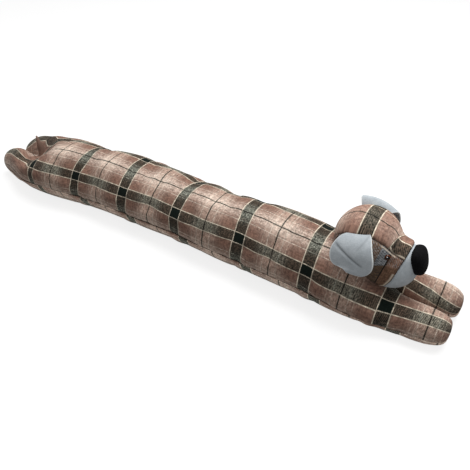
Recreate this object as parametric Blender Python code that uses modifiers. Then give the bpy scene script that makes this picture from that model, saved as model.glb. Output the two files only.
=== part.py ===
# Draught excluder: a long filled tube of checked cloth in the shape of a dog lying flat,
# with two hind legs, two forelegs, a head on top of the front end and a short tail.
# Metres, +Z up, +X towards the head. It lies on its base panel at z = 0.
# Tables are in millimetres, x from where the hind legs part, y from the middle of the back.

import math

import bmesh
import bpy
from mathutils import Matrix, Vector

MM = 0.001
ORIGIN_X = 350.2            # table x of the middle of the whole length
ORIGIN_Y = -4.0             # table y of the middle of the whole width

PIECE_GAP = 0.3             # clear space between neighbouring pieces
PANEL_THICKNESS = 1.6       # base panel cloth
PANEL_BED = 2.1             # how deep the filled body is set back behind the base panel
SEAM_WIDTH = 0.8            # half the width of the seam's ledge

RING_POINTS = 16            # control points round the trunk
TOP_POINT = RING_POINTS // 2
LEG_POINTS = 12             # control points round a leg, which starts a third of a turn below
LEG_START = 4
NEAR_DIP_FADE = 0.5         # share of the near dip one control point further down the side
SEAM_ROW = 3.5              # girth row of the base seam: 0 under the belly, 8 along the back

# Trunk sections, tail end to shoulders: x, middle y, half width, underside z, top z, and how
# far the middle of the back and the part beside it, on the near side, dip between the legs.
TRUNK = [
    (-12, -12.5, 61.5, -3, 87, 44, 26),
    (6, -16, 65, -5, 95, 48, 36),
    (30, -17, 66, -7, 104, 40, 35),
    (60, -17, 64.5, -7, 110, 15, 18),
    (95, -13, 63, -8, 110.5, 1, 3),
    (130, -8, 61.5, -7, 106, 0, 0),
    (165, -3, 60, -7, 103.5, 0, 0),
    (205, 1, 61.5, -8, 107, 0, 0),
    (245, 1.5, 61.5, -8, 107, 0, 0),
    (285, 0.5, 60.5, -7, 105, 0, 0),
    (322, 1.5, 58.8, -7, 102, 0, 0),
    (362, 3.5, 60, -7, 104, 0, 0),
    (405, 1, 60.5, -7, 105, 0, 0),
    (440, 0.5, 59.5, -7, 103.5, 0, 0),
    (480, 1.5, 60.5, -7, 105, 0, 0),
    (525, 0.5, 61, -7, 106, 0, 0),
    (565, 0.2, 60.5, -7, 105, 0, 0),
    (602, 0, 61.5, -7, 106, 0, 0),
    (630, 0, 62, -7, 98, 0, 0),
    (655, 1, 62, -6, 83, 0, 0),
    (680, 5, 62, -5, 69, 0, 0),
    (703, 10, 61, -4, 58, 5, 0),
]

# Leg sections, body to tip: x, middle y, half width, underside z, top z.
FORELEG_NEAR = [
    (722, -16, 27, -3, 53),
    (745, -13, 26, -3, 50.5),
    (770, -12, 25, -3, 49.5),
    (788, -10, 22, 0, 46),
    (797.5, -8, 14, 6, 38),
]
FORELEG_FAR = [
    (722, 41, 26.5, -3, 52.5),
    (747, 48, 26, -3, 50),
    (771, 51, 24.5, -3, 49),
    (790, 50, 20.5, 0, 45),
    (799, 48, 12.5, 6, 37),
]
HINDLEG_NEAR = [
    (-34, -40.5, 27, -4, 70.5),
    (-57, -33.5, 25, -4, 64.5),
    (-77, -31, 23, -3, 57),
    (-91, -31, 19, 2, 48.5),
    (-98.5, -32, 12, 9, 38),
]
HINDLEG_FAR = [
    (-34, 18, 29, -4, 75),
    (-54, 21, 27.5, -4, 68),
    (-72, 20, 25.5, -3, 58.5),
    (-84, 18, 20, 2, 47),
    (-90, 17, 11.5, 9, 37),
]
# Heights of the three control points in a crotch, top to bottom, as shares of its height.
CROTCH_SHARES = (0.72, 0.46, 0.22)
INNER_GIRTHS = (6.25, 4.5, 2.5)

# Head balls: x, y, z, radius. A smooth skin is blended over them from the core.
HEAD_CORE = (682, 8, 98)
HEAD_BALLS = [
    (658, 8, 114.5, 45.5),   # skull
    (699.5, 8, 87.5, 32.5),  # muzzle
    (702, 8, 107, 24),       # bridge of the nose
    (679, 8, 88, 33),        # jowls
]
HEAD_BLEND = 9.0            # higher is a sharper stop between skull and muzzle
HEAD_CUTS = 9               # squares along a side of the head's cube, less one
HEAD_MIDDLE_Y = 8.0
# Seams between the crown gusset and the side panels: x, half width of the gusset's wedge at
# its top. The wedge comes to an edge on the head's middle plane, low inside the head.
GUSSET_SEAM = [(590, 62), (637, 59), (672, 51.5), (697, 52.5), (715, 62), (735, 65)]
GUSSET_LOW_Z = 86
GUSSET_HIGH_Z = 170
# Side outline of the seam between the checked head and the grey muzzle, top to bottom: x, z.
MUZZLE_SEAM = [
    (728, 170), (717, 126), (711.5, 104), (705, 85), (697, 70), (686, 60), (672, 54), (600, 50),
]
MUZZLE_SEAM_BACK = (590, 170)
BLOCK_REACH = 60            # how far a cutting block runs to each side of the head's middle

NOSE_AT = (729, 8, 107.5)
NOSE_SIZE = (10, 16.5, 19.5)
NOSE_LEAN = math.radians(-18)
EYE_AT = (693.5, -19.5, 117)
EYE_RADIUS = 4.6

EAR_THICKNESS = 2.4
# Ear rows, from inside the skull's seam to the tip: y, back edge x and z, front edge x and z,
# and how far the middle of the row stands above a straight line.
EAR_NEAR = [
    (-22, 641, 134, 666, 143, 0),
    (-29, 637, 138.5, 671, 147, 0),
    (-39, 629, 134, 677, 147, 0.5),
    (-48, 626, 125, 682, 142, 1),
    (-54, 628, 116, 686, 133, 1),
    (-58, 634, 106.5, 688, 122, 0),
    (-60, 645, 102, 684, 113, -1),
    (-60, 657, 101, 675, 106, -1),
]
EAR_FAR = [
    (35, 635, 139, 670, 141, 2),
    (42, 630, 149, 676, 141, 6),
    (49, 628, 151, 681, 139, 9),
    (57, 628, 143, 684, 130, 9),
    (62, 630, 127, 686, 117, 6),
    (64, 636, 112, 683, 105, 3),
    (64, 648, 104, 674, 100, 1),
]
EAR_COLUMNS = 7
EAR_CREASE = 1.6            # how far the soft diagonal crease sinks in
EAR_CREASE_WIDTH = 0.28     # its width, as a share of the flap
EAR_CREASE_SLOPE = (0.8, 1.3)   # its run across and down the flap

# Tail sections, root to tip: x, y, z, radius.
TAIL = [
    (-3, -14, 40, 6),
    (-4, -13, 56, 7),
    (-6, -11, 70, 6.5),
    (-10, -10, 83, 4),
    (-13, -9, 93, 1.5),
]
TAIL_SIDES = 12
EYE_SIDES = 12
NOSE_SIDES = 20

FLAT_ANGLE = math.radians(0.05)     # facets closer than this to one plane are merged

# Cloths and eye: colour, roughness.
FINISHES = {
    "checked_cloth": ((0.26, 0.18, 0.14), 0.9),
    "checked_base_cloth": ((0.22, 0.16, 0.13), 0.9),
    "grey_flannel": ((0.27, 0.30, 0.33), 0.95),
    "black_cloth": ((0.007, 0.007, 0.008), 0.8),
    "toy_eye": ((0.012, 0.006, 0.004), 0.12),
}


def at(x, y, z):
    """Table millimetres to a point of the part."""
    return Vector(((x - ORIGIN_X) * MM, (y - ORIGIN_Y) * MM, z * MM))


def clear_scene():
    for thing in list(bpy.data.objects):
        bpy.data.objects.remove(thing)


def new_collection(name):
    collection = bpy.data.collections.new(name)
    bpy.context.scene.collection.children.link(collection)
    return collection


def finish(name):
    colour, roughness = FINISHES[name]
    material = bpy.data.materials.new(name)
    material.use_nodes = True
    shader = material.node_tree.nodes["Principled BSDF"]
    shader.inputs["Base Color"].default_value = (*colour, 1.0)
    shader.inputs["Roughness"].default_value = roughness
    shader.inputs["Metallic"].default_value = 0.0
    material.diffuse_color = (*colour, 1.0)
    return material


def add_object(name, bm, collection, material=None):
    mesh = bpy.data.meshes.new(name)
    bm.normal_update()
    bm.to_mesh(mesh)
    bm.free()
    mesh.shade_smooth()
    thing = bpy.data.objects.new(name, mesh)
    collection.objects.link(thing)
    if material:
        mesh.materials.append(material)
    return thing


def evaluated_bmesh(thing):
    """The mesh with its modifiers, as the viewport shows it."""
    depsgraph = bpy.context.evaluated_depsgraph_get()
    mesh = bpy.data.meshes.new_from_object(thing.evaluated_get(depsgraph), depsgraph=depsgraph)
    bm = bmesh.new()
    bm.from_mesh(mesh)
    bpy.data.meshes.remove(mesh)
    return bm


def ring_stretch(count):
    """How far a ring of control points stands outside the round that it subdivides to."""
    return 3.0 / (2.0 + math.cos(2.0 * math.pi / count))


def trunk_ring(bm, girth, section):
    x, middle, half, low, high, dip, near_dip = section
    stretch = ring_stretch(RING_POINTS)
    centre, rise = (low + high) / 2, (high - low) / 2
    ring = []
    for k in range(RING_POINTS):
        turn = 2 * math.pi * k / RING_POINTS
        vert = bm.verts.new(at(x, middle - stretch * half * math.sin(turn),
                               centre - stretch * rise * math.cos(turn)))
        vert[girth] = min(k, RING_POINTS - k)
        ring.append(vert)
    ring[TOP_POINT].co.z -= dip * MM
    ring[TOP_POINT - 1].co.z -= near_dip * MM
    ring[TOP_POINT - 2].co.z -= near_dip * NEAR_DIP_FADE * MM
    return ring


def leg_ring(bm, girth, section, side):
    """A ring that starts under the belly, runs up the outer side and back down the inner."""
    x, middle, half, low, high = section
    stretch = ring_stretch(LEG_POINTS)
    centre, rise = (low + high) / 2, (high - low) / 2
    ring = []
    for j in range(LEG_POINTS):
        turn = 2 * math.pi * (j - LEG_START) / LEG_POINTS
        vert = bm.verts.new(at(x, middle + side * stretch * half * math.cos(turn),
                               centre + stretch * rise * math.sin(turn)))
        vert[girth] = j if j <= TOP_POINT else INNER_GIRTHS[j - TOP_POINT - 1]
        ring.append(vert)
    return ring


def join_rings(bm, first, second):
    count = len(first)
    for k in range(count):
        bm.faces.new((first[k], first[(k + 1) % count], second[(k + 1) % count], second[k]))


def add_legs(bm, girth, trunk_end, near_rows, far_rows):
    """Split the trunk's end ring into two legs with a crotch between them."""
    low, high = trunk_end[0].co, trunk_end[TOP_POINT].co
    crotch = []
    for share, value in zip(CROTCH_SHARES, INNER_GIRTHS):
        vert = bm.verts.new(low.lerp(high, share))
        vert[girth] = value
        crotch.append(vert)
    outer_near = trunk_end[:TOP_POINT + 1]
    outer_far = [trunk_end[-k] for k in range(TOP_POINT + 1)]
    for outer, rows, side in ((outer_near, near_rows, -1), (outer_far, far_rows, 1)):
        previous = outer + crotch
        for row in rows:
            ring = leg_ring(bm, girth, row, side)
            join_rings(bm, previous, ring)
            previous = ring
        bm.faces.new(previous)


def build_form(cutters):
    """The whole outer form of body and base, as one closed skin with its girth rows."""
    bm = bmesh.new()
    girth = bm.verts.layers.float.new("girth")
    rings = [trunk_ring(bm, girth, section) for section in TRUNK]
    for first, second in zip(rings, rings[1:]):
        join_rings(bm, first, second)
    add_legs(bm, girth, rings[-1], FORELEG_NEAR, FORELEG_FAR)
    add_legs(bm, girth, rings[0], HINDLEG_NEAR, HINDLEG_FAR)
    bmesh.ops.recalc_face_normals(bm, faces=bm.faces)
    cage = add_object("form_cage", bm, cutters)
    subdivide = cage.modifiers.new("round", "SUBSURF")
    subdivide.levels = 1
    subdivide.render_levels = 1
    form = evaluated_bmesh(cage)
    bpy.data.objects.remove(cage)
    for vert in form.verts:
        vert.co.z = max(vert.co.z, 0.0)
    bmesh.ops.recalc_face_normals(form, faces=form.faces)
    return form


def split_seam(form):
    """Open the base seam into a narrow ledge. Returns the faces that lie below it."""
    girth = form.verts.layers.float["girth"]
    below = form.faces.layers.int.new("below")
    for face in form.faces:
        face[below] = int(sum(vert[girth] for vert in face.verts) / len(face.verts) < SEAM_ROW)
    seam = [edge for edge in form.edges
            if len(edge.link_faces) == 2 and edge.link_faces[0][below] != edge.link_faces[1][below]]
    result = bmesh.ops.bevel(form, geom=seam, offset=SEAM_WIDTH * MM, offset_type="OFFSET",
                             segments=1, profile=0.5, affect="EDGES", clamp_overlap=True)
    ledge = set(result["faces"])
    return [face for face in form.faces if face[below] and face not in ledge]


def flatten_rests(bm):
    """Merge the facets that lie in one plane, which the flat underside is full of."""
    bmesh.ops.dissolve_limit(bm, angle_limit=FLAT_ANGLE, verts=bm.verts, edges=bm.edges)


def build_body(form, collection, material):
    bm = form.copy()
    lower = split_seam(bm)
    bm.normal_update()
    verts = {vert for face in lower for vert in face.verts}
    for vert in verts:
        vert.co -= vert.normal * PANEL_BED * MM
    flatten_rests(bm)
    return add_object("body", bm, collection, material)


def build_base_panel(form, collection, material):
    bm = form.copy()
    lower = set(split_seam(bm))
    bmesh.ops.delete(bm, geom=[face for face in bm.faces if face not in lower], context="FACES")
    sheet = add_object("sheet_guide", bm, collection)
    wall = sheet.modifiers.new("cloth", "SOLIDIFY")
    wall.thickness = PANEL_THICKNESS * MM
    wall.offset = -1.0
    bm = evaluated_bmesh(sheet)
    bpy.data.objects.remove(sheet)
    flatten_rests(bm)
    return add_object("base_panel", bm, collection, material)


def grown_copy(name, bm, cutters, distance):
    """A closed skin moved outwards, which cuts its neighbours with a clear gap."""
    bm = bm.copy()
    bm.normal_update()
    for vert in bm.verts:
        vert.co += vert.normal * distance * MM
    return as_cutter(name, bm, cutters)


def cut_by(thing, cutter, operation="DIFFERENCE"):
    boolean = thing.modifiers.new("clear", "BOOLEAN")
    boolean.operation = operation
    boolean.solver = "EXACT"
    boolean.object = cutter


def ball_reach(direction, ball):
    """Distance from the head's core to the far side of a ball along a direction."""
    offset = Vector(ball[:3]) - Vector(HEAD_CORE)
    along = offset.dot(direction)
    inside = along * along - offset.length_squared + ball[3] * ball[3]
    return along + math.sqrt(inside) if inside > 0 else 0.0


def head_form(cuts):
    """A cube cut into squares and pushed out to the blended skin of the head balls."""
    bm = bmesh.new()
    bmesh.ops.create_cube(bm, size=2.0)
    bmesh.ops.subdivide_edges(bm, edges=bm.edges, cuts=cuts, use_grid_fill=True)
    for vert in bm.verts:
        direction = Vector([math.tan(part * math.pi / 4) for part in vert.co]).normalized()
        reach = sum(ball_reach(direction, ball) ** HEAD_BLEND for ball in HEAD_BALLS)
        vert.co = at(*(Vector(HEAD_CORE) + direction * reach ** (1.0 / HEAD_BLEND)))
    bmesh.ops.recalc_face_normals(bm, faces=bm.faces)
    return bm


def as_cutter(name, bm, cutters):
    bmesh.ops.recalc_face_normals(bm, faces=bm.faces)
    cutter = add_object(name, bm, cutters)
    cutter.hide_render = True
    cutter.display_type = "WIRE"
    return cutter


def seam_block(name, cutters, grow):
    """A block whose front and lower edge is the muzzle's seam, seen from the side."""
    outline = [Vector(point) for point in MUZZLE_SEAM]
    corners = []
    for i, point in enumerate(outline):
        run = outline[min(i + 1, len(outline) - 1)] - outline[max(i - 1, 0)]
        corners.append(point + Vector((-run.y, run.x)).normalized() * grow)
    corners.append(Vector(MUZZLE_SEAM_BACK))
    bm = bmesh.new()
    sides = []
    for y in (HEAD_MIDDLE_Y - BLOCK_REACH, HEAD_MIDDLE_Y + BLOCK_REACH):
        side = [bm.verts.new(at(corner.x, y, corner.y)) for corner in corners]
        bm.faces.new(side)
        sides.append(side)
    join_rings(bm, *sides)
    return as_cutter(name, bm, cutters)


def gusset_wedge(name, cutters, grow):
    """A wedge that stands on the head's middle plane and opens upwards to the gusset's seams."""
    bm = bmesh.new()
    rings = []
    for x, half in GUSSET_SEAM:
        ring = [bm.verts.new(at(x, HEAD_MIDDLE_Y, GUSSET_LOW_Z - grow)),
                bm.verts.new(at(x, HEAD_MIDDLE_Y + half + grow, GUSSET_HIGH_Z)),
                bm.verts.new(at(x, HEAD_MIDDLE_Y - half - grow, GUSSET_HIGH_Z))]
        if rings:
            join_rings(bm, rings[-1], ring)
        rings.append(ring)
    bm.faces.new(rings[0])
    bm.faces.new(rings[-1])
    bmesh.ops.triangulate(bm, faces=bm.faces, quad_method="FIXED")
    return as_cutter(name, bm, cutters)


def side_block(name, cutters, side):
    """Everything on one side of the head's middle plane, short of it by half a gap."""
    bm = bmesh.new()
    bmesh.ops.create_cube(bm, size=2 * BLOCK_REACH * MM)
    middle_y = HEAD_MIDDLE_Y + side * (BLOCK_REACH + PIECE_GAP / 2)
    skull_x = HEAD_BALLS[0][0]
    bmesh.ops.translate(bm, vec=at(skull_x, middle_y, HEAD_CORE[2]), verts=bm.verts)
    return as_cutter(name, bm, cutters)


def ellipsoid(size, sides, place):
    bm = bmesh.new()
    bmesh.ops.create_uvsphere(bm, u_segments=sides, v_segments=sides * 2 // 3, radius=1.0)
    scale = Matrix.Diagonal((*[part * MM for part in size], 1.0))
    bmesh.ops.transform(bm, matrix=place @ scale, verts=bm.verts)
    return bm


def build_ear(name, side, rows, collection, material):
    """A rounded flap sewn along its top edge, with one soft diagonal crease."""
    bm = bmesh.new()
    run_across, run_down = EAR_CREASE_SLOPE
    previous = None
    for i, (y, back_x, back_z, front_x, front_z, arch) in enumerate(rows):
        down = i / (len(rows) - 1)
        line = []
        for k in range(EAR_COLUMNS):
            share = k / (EAR_COLUMNS - 1)
            across = 2 * share - 1
            from_crease = (across * run_across - (down - 0.5) * run_down) / EAR_CREASE_WIDTH
            crease = EAR_CREASE * math.exp(-from_crease * from_crease) * down
            x = back_x + (front_x - back_x) * share
            z = back_z + (front_z - back_z) * share + arch * (1 - across * across)
            line.append(bm.verts.new(at(x, y - side * crease, z)))
        if previous:
            for k in range(EAR_COLUMNS - 1):
                bm.faces.new((previous[k], previous[k + 1], line[k + 1], line[k]))
        previous = line
    ear = add_object(name, bm, collection, material)
    cloth = ear.modifiers.new("cloth", "SOLIDIFY")
    cloth.thickness = EAR_THICKNESS * MM
    cloth.offset = 0.0
    smooth = ear.modifiers.new("round", "SUBSURF")
    smooth.levels = 1
    smooth.render_levels = 1
    return ear


def build_tail(collection, material):
    bm = bmesh.new()
    rings = []
    points = [at(*row[:3]) for row in TAIL]
    for i, row in enumerate(TAIL):
        ahead = points[min(i + 1, len(points) - 1)] - points[max(i - 1, 0)]
        turn = ahead.to_track_quat("Z", "Y")
        ring = []
        for k in range(TAIL_SIDES):
            angle = 2 * math.pi * k / TAIL_SIDES
            offset = Vector((math.cos(angle), math.sin(angle), 0)) * row[3] * MM
            ring.append(bm.verts.new(points[i] + turn @ offset))
        if rings:
            join_rings(bm, rings[-1], ring)
        rings.append(ring)
    bm.faces.new(rings[0])
    bm.faces.new(rings[-1])
    bmesh.ops.recalc_face_normals(bm, faces=bm.faces)
    return add_object("tail", bm, collection, material)


def build_head(cutters, collection, check_cloth, grey_cloth, body_cutter):
    """Crown gusset, two side panels and muzzle: four filled pieces of one head."""
    head_block = seam_block("head_block", cutters, -PIECE_GAP / 2)
    crown = add_object("head_crown", head_form(HEAD_CUTS), collection, check_cloth)
    cut_by(crown, head_block, "INTERSECT")
    cut_by(crown, gusset_wedge("crown_wedge", cutters, -PIECE_GAP / 2), "INTERSECT")

    side_wedge = gusset_wedge("side_wedge", cutters, PIECE_GAP / 2)
    pieces = [crown]
    for name, side in (("head_side_near", -1), ("head_side_far", 1)):
        panel = add_object(name, head_form(HEAD_CUTS), collection, check_cloth)
        cut_by(panel, head_block, "INTERSECT")
        cut_by(panel, side_wedge)
        cut_by(panel, side_block(name + "_block", cutters, side), "INTERSECT")
        pieces.append(panel)

    muzzle = add_object("muzzle", head_form(HEAD_CUTS), collection, grey_cloth)
    cut_by(muzzle, seam_block("muzzle_block", cutters, PIECE_GAP / 2))
    for piece in (*pieces, muzzle):
        cut_by(piece, body_cutter)


def main():
    clear_scene()
    dog = new_collection("draught_excluder")
    cutters = new_collection("cutters")
    check_cloth = finish("checked_cloth")
    grey_cloth = finish("grey_flannel")
    nose_cloth = finish("black_cloth")
    toy_eye = finish("toy_eye")

    form = build_form(cutters)
    build_body(form, dog, check_cloth)
    build_base_panel(form, dog, finish("checked_base_cloth"))
    body_cutter = grown_copy("body_cutter", form, cutters, PIECE_GAP)
    form.free()

    build_head(cutters, dog, check_cloth, grey_cloth, body_cutter)
    skin = head_form(HEAD_CUTS)
    head_cutter = grown_copy("head_cutter", skin, cutters, PIECE_GAP)
    skin.free()

    place = Matrix.Translation(at(*NOSE_AT)) @ Matrix.Rotation(NOSE_LEAN, 4, "Y")
    nose_ball = ellipsoid(NOSE_SIZE, NOSE_SIDES, place)
    cut_by(add_object("nose", nose_ball, dog, nose_cloth), head_cutter)

    for name, y in (("eye_near", EYE_AT[1]), ("eye_far", 2 * HEAD_MIDDLE_Y - EYE_AT[1])):
        place = Matrix.Translation(at(EYE_AT[0], y, EYE_AT[2]))
        eye_ball = ellipsoid((EYE_RADIUS,) * 3, EYE_SIDES, place)
        cut_by(add_object(name, eye_ball, dog, toy_eye), head_cutter)

    cut_by(build_ear("ear_near", -1, EAR_NEAR, dog, grey_cloth), head_cutter)
    cut_by(build_ear("ear_far", 1, EAR_FAR, dog, grey_cloth), head_cutter)
    cut_by(build_tail(dog, check_cloth), body_cutter)


main()
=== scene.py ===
import math

import bmesh
import bpy
import numpy as np
from mathutils import Matrix, Vector, noise
from mathutils.bvhtree import BVHTree


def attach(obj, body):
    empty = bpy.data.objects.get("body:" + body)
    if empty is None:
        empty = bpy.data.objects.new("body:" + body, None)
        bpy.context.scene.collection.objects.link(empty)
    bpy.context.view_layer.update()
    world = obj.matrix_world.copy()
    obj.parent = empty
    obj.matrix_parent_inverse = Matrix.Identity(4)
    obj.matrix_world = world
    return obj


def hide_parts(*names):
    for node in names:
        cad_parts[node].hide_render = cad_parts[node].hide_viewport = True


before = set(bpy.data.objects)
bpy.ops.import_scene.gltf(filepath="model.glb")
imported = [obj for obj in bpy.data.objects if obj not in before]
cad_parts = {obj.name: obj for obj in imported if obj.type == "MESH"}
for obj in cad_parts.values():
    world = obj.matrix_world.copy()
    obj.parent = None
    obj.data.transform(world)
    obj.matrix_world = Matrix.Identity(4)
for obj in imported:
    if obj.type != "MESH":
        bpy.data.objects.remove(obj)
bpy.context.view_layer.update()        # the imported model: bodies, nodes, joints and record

# The dog lies along X with its head at +X, on its base panel at z = 0.
# Tables of places are in millimetres, with their own origin in x and y, and z from the floor.
# These two turn them into the frame's metres and back.
mm = 0.001
tableOrigin = (350.2, -4.0)


def at(x, y, z):
    return Vector(((x - tableOrigin[0]) * mm, (y - tableOrigin[1]) * mm, z * mm))


def toTable(points):
    return np.asarray(points, float) / mm + np.array((*tableOrigin, 0.0))


# An sRGB hex colour as the linear values that Blender's sockets take
def toLinear(hexColour):
    parts = [int(hexColour[i:i + 2], 16) / 255 for i in (1, 3, 5)]
    return (*[c / 12.92 if c <= 0.04045 else ((c + 0.055) / 1.055) ** 2.4 for c in parts], 1.0)


# Camera: the photograph's view, a little above the forelegs and looking down the length
camera = {
    "place": (776.9, -510.1, 514.1),
    "turn": 32.83,          # degrees round from straight along +Y
    "lookDown": 38.31,      # degrees below level
    "lens": 36.0,           # mm
    "frameWidth": 36.0,
}


def makeCamera():
    data = bpy.data.cameras.new("camera")
    data.sensor_width = camera["frameWidth"]
    data.lens = camera["lens"]
    thing = bpy.data.objects.new("camera", data)
    bpy.context.scene.collection.objects.link(thing)
    turn, down = math.radians(camera["turn"]), math.radians(camera["lookDown"])
    back = Vector((math.sin(turn) * math.cos(down), -math.cos(turn) * math.cos(down), math.sin(down)))
    right = (-back).cross(Vector((0, 0, 1))).normalized()
    matrix = Matrix((right, right.cross(-back), back)).transposed().to_4x4()
    matrix.translation = at(*camera["place"])
    thing.matrix_world = matrix
    bpy.context.scene.camera = thing


# Light: a broad soft box overhead and a pale room all round. Places and sizes are in metres.
light = {
    "worldStrength": 0.37,
    "worldColour": "#ffffff",
    "boxPower": 45.5,
    "boxPlace": (0.25, 0.55, 2.0),
    "boxSize": 1.3,
    "boxAim": (0.05, 0.0, 0.0),
    "floorColour": "#8a8a8a",
    "floorGlow": 0.81,          # seen by the camera alone: it lights nothing
    "floorShader": {"Roughness": 0.8, "Specular IOR Level": 0.0, "Emission Color": (1, 1, 1, 1)},
    "floorSize": 14.0,
}


def makeLight():
    world = bpy.data.worlds.new("paleRoom")
    bpy.context.scene.world = world
    world.use_nodes = True
    background = world.node_tree.nodes["Background"]
    background.inputs["Color"].default_value = toLinear(light["worldColour"])
    background.inputs["Strength"].default_value = light["worldStrength"]
    data = bpy.data.lights.new("softBox", "AREA")
    data.shape = "SQUARE"
    data.size = light["boxSize"]
    data.energy = light["boxPower"]
    thing = bpy.data.objects.new("softBox", data)
    bpy.context.scene.collection.objects.link(thing)
    place, aim = Vector(light["boxPlace"]), Vector(light["boxAim"])
    thing.location = place
    thing.rotation_euler = (place - aim).to_track_quat("Z", "Y").to_euler()
    bpy.context.scene.view_settings.view_transform = "Standard"


# Nodes: adds one node with its settings, ramp stops, values and links
def addNode(tree, kind, settings=None, inputs=None, stops=None):
    new = tree.nodes.new(kind)
    for name, value in (settings or {}).items():
        setattr(new, name, value)
    if stops:
        ramp = new.color_ramp
        while len(ramp.elements) > 1:
            ramp.elements.remove(ramp.elements[-1])
        for i, (place, colour) in enumerate(stops):
            element = ramp.elements[0] if i == 0 else ramp.elements.new(place)
            element.position = place
            element.color = colour
    for socket, value in (inputs or {}).items():
        if isinstance(value, bpy.types.NodeSocket):
            tree.links.new(value, new.inputs[socket])
        else:
            new.inputs[socket].default_value = value
    return new


# A new material with its shader's values, its node tree and its shader
def newMaterial(name, values):
    material = bpy.data.materials.new(name)
    material.use_nodes = True
    shader = material.node_tree.nodes["Principled BSDF"]
    for socket, value in values.items():
        shader.inputs[socket].default_value = value
    return material, material.node_tree, shader


# Brushed wool-look twill in a window-pane check, woven with two sets of yarn. It looks dry and
# matt, with heathered yarns and a faint diagonal.
twill = {
    "crossRepeat": 116.0,       # mm from one dark cross band to the next
    "girthRepeat": 88.0,        # mm from one dark long band to the next
    "ground": "#82675a",        # heathered pinkish brown
    "groundPink": "#856557",
    "half": "#a0877a",          # half way from the ground to the zone
    "zone": "#c3ab9b",          # the pale zone round each thin dark line
    "bright": "#e0cdbe",        # the same along the top of the back
    "pale": "#dccdb9",          # pale edging threads
    "slate": "#d3d5d8",         # the two yarns of the grey block on the cheek
    "slateDark": "#4a4f55",
    "cheek": "#8d7059",         # olive brown behind it, crossed by a darker yarn
    "cheekShade": "#78604a",
    "cheekFront": "#8f6c58",    # redder, in front of it
    "dark": "#0f1511",          # charcoal with a green cast
    "fine": "#2c2622",          # the thin dark line
    "paintedLightTones": {"crown": 1.32, "side": 0.74, "base": 1.7},    # painted light and shade against the body's cloth: the crown painted lighter where light falls on it, the sides painted darker where they lie in shade, the base panel painted lighter
    "bandTint": (0.89, 1.08, 1.06, 1.0),
    "noTint": (1.0, 1.0, 1.0, 1.0),
    "tintShares": (0.16, 0.32, 0.42),   # dark share from which the tint is full, until, and gone
    "streak": 2.6,              # mm, yarn streaks, drawn about four times coarser than real ones
    "streakLength": 0.4,        # noise scale along the yarn: under 1 draws the streaks out
    "streakSpread": (0.3, 0.7),     # noise values that become the darkest and palest yarn
    "streakShade": (0.55, 1.45),
    "twillPitch": 2.8,          # mm, drawn coarser than a real 1 mm diagonal, which would blur
    "twillWave": 0.2,           # how far the diagonal moves the mix of the two yarn sets
    "fuzzScale": 0.45,          # in each mm
    "fuzzSpread": (0.25, 0.75),
    "fuzz": 0.28,               # how far the brushed fibres move the mix
    "shader": {"Roughness": 0.92, "Sheen Weight": 0.05, "Sheen Roughness": 0.5, "Specular IOR Level": 0.1},
    "bump": 0.25,
    "bumpDepth": 0.0006,        # m
}

# Colour across half a repeat, from the middle of a dark band (0) to a thin dark line (1). The
# last number is how far that yarn floats over the other set.
crossSett = [
    (0.0, "dark", 0.255), (0.150, "dark", 0.255),
    (0.160, "pale", 0.48), (0.174, "pale", 0.48),
    (0.184, "ground", 0.0), (0.36, "groundPink", 0.0), (0.50, "ground", 0.0),
    (0.640, "half", 0.0), (0.650, "zone", 0.05), (0.658, "zone", 0.05), (0.668, "half", 0.0),
    (0.78, "zone", 0.0), (0.788, "bright", 0.05), (0.796, "bright", 0.05), (0.806, "zone", 0.0),
    (0.976, "zone", 0.0), (0.988, "fine", 0.42), (1.0, "fine", 0.42),
]
girthSett = [
    (0.0, "dark", 0.165), (0.168, "dark", 0.165),
    (0.180, "pale", 0.48), (0.198, "pale", 0.48),
    (0.210, "ground", 0.0), (0.36, "groundPink", 0.0), (0.46, "ground", 0.0),
    (0.62, "half", 0.0), (0.635, "bright", 0.05), (0.645, "bright", 0.05), (0.66, "half", 0.0),
    (0.84, "bright", 0.0), (0.970, "bright", 0.0), (0.984, "fine", 0.42), (1.0, "fine", 0.42),
]

# Over the crown the zone round the thin line stays brown
crownGirthSett = [
    (0.0, "dark", 0.165), (0.155, "dark", 0.165),
    (0.165, "pale", 0.48), (0.185, "pale", 0.48),
    (0.196, "ground", 0.0), (0.455, "groundPink", 0.0),
    (0.462, "pale", 0.40), (0.480, "pale", 0.40),
    (0.487, "groundPink", 0.0), (0.80, "half", 0.0), (0.974, "half", 0.0),
    (0.984, "fine", 0.36), (1.0, "fine", 0.36),
]

# The sides of the head show one grey block where two grey bands meet
cheekCrossSett = [
    (0.0, "cheek", 0.30), (0.385, "cheek", 0.30),
    (0.395, "slateDark", 0.0), (0.605, "slateDark", 0.0),
    (0.613, "fine", 0.9), (0.632, "fine", 0.9),
    (0.64, "cheekFront", 0.42), (1.0, "cheekFront", 0.42),
]
cheekGirthSett = [
    (0.0, "cheekShade", 0.30), (0.485, "cheekShade", 0.30),
    (0.50, "slate", 0.0), (1.0, "slate", 0.0),
]


# Ramp stops of one yarn set: its colours, with the floating share as their alpha
def settStops(sett, tone):
    stops = []
    for place, name, floatShare in sett:
        colour = toLinear(twill[name])
        stops.append((place, (*[c * tone for c in colour[:3]], floatShare)))
    return stops


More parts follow.
